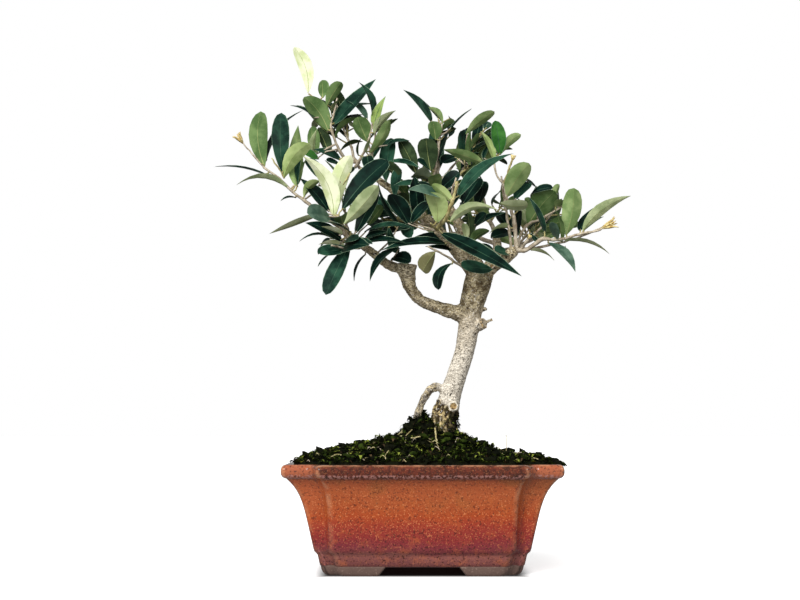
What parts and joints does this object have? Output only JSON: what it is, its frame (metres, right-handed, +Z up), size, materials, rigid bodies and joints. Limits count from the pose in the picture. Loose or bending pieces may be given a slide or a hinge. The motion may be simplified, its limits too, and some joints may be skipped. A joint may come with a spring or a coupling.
{
  "type": "potted olive bonsai",
  "caption": "Small olive tree trained as a bonsai: leaning trunk, boughs ending in tufts of leathery leaves, in a moss-topped rectangular glazed pot on corner feet.",
  "frame": {"origin": "on the ground, under the middle of the whole plant's bounding box", "axes": "+Z up, -Y towards the front of the pot, +X to the right as seen from the front"},
  "size_m": [0.3166, 0.195, 0.3827],
  "materials": {
    "glaze": "gloss",
    "earth": "matte",
    "moss": "matte",
    "bark": "matte",
    "leaf": "satin"
  },
  "bodies": {
    "root": {"pot": "glaze", "earth": "earth", "moss": "moss", "trunk": "bark", "surface_root": "bark", "bough_left_lower": "bark", "bough_left_upper": "bark", "bough_right": "bark", "bough_centre": "bark", "bough_crown": "bark", "bough_upper_left": "bark", "bough_back": "bark", "foliage_left_tip": "leaf", "foliage_left_rosette": "leaf", "foliage_left_low": "leaf", "foliage_top_left": "leaf", "foliage_top_inner": "leaf", "foliage_crown": "leaf", "foliage_crown_right": "leaf", "foliage_front": "leaf", "foliage_under": "leaf", "foliage_right_up": "leaf", "foliage_right_tip": "leaf", "foliage_right_mid": "leaf", "foliage_front_low": "leaf", "foliage_inner_left": "leaf", "foliage_back_left": "leaf", "foliage_back": "leaf", "foliage_back_right": "leaf"}
  },
  "joints": []
}
